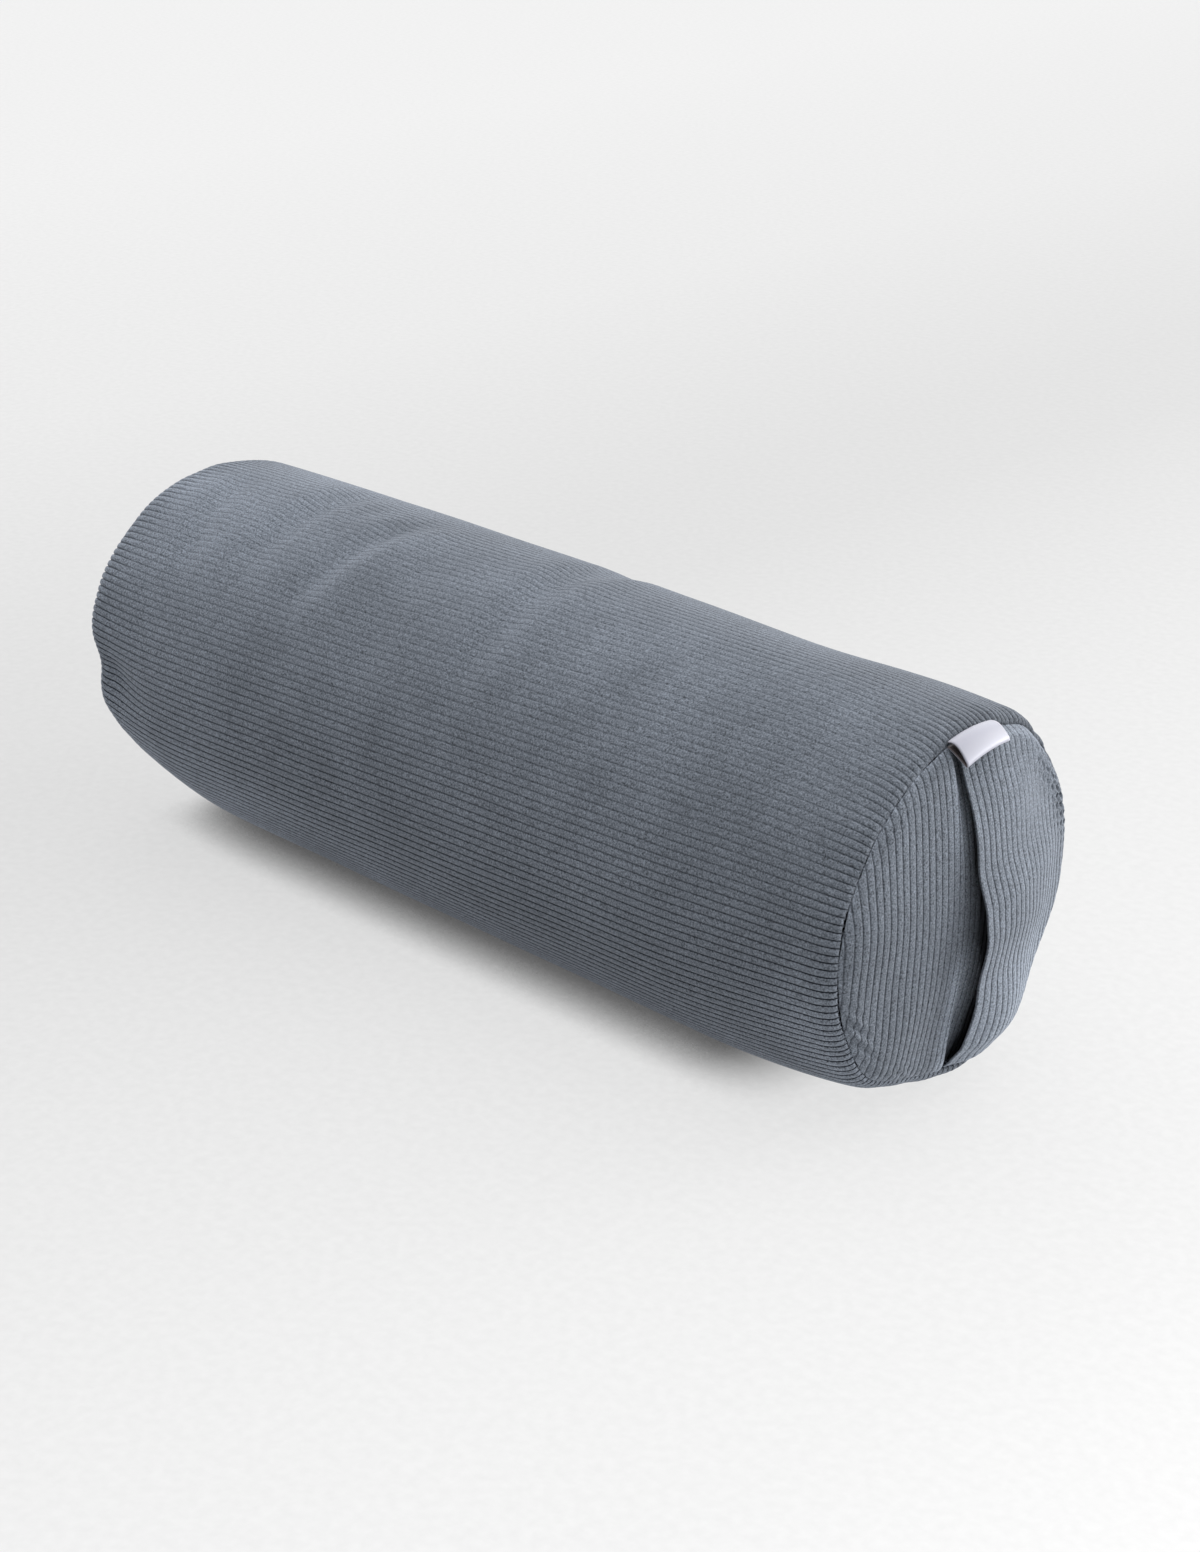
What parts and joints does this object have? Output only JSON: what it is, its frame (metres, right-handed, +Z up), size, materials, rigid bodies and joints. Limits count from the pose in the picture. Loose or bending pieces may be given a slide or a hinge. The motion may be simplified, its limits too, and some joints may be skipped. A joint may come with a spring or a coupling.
{
  "type": "yoga bolster",
  "caption": "Round, firmly filled yoga bolster in ribbed corduroy, with domed ends and a half-moon grip flap to carry it by.",
  "frame": {"origin": "centre of the bounding box in plan, on the surface that the bolster lies on", "axes": "+X along the bolster towards the end with the grip flap, +Z up, +Y to the side that the grip flap covers"},
  "size_m": [0.6468, 0.221, 0.2214],
  "materials": {
    "corduroy": "slate blue-grey cotton corduroy, ribs 4.7 mm apart, soft heathered pile",
    "label_satin": "white satin ribbon, bare"
  },
  "bodies": {
    "root": {"bolster_body": "corduroy", "end_panel_grip": "corduroy", "end_panel_plain": "corduroy", "grip_flap": "corduroy", "label_loop": "label_satin"}
  },
  "joints": []
}
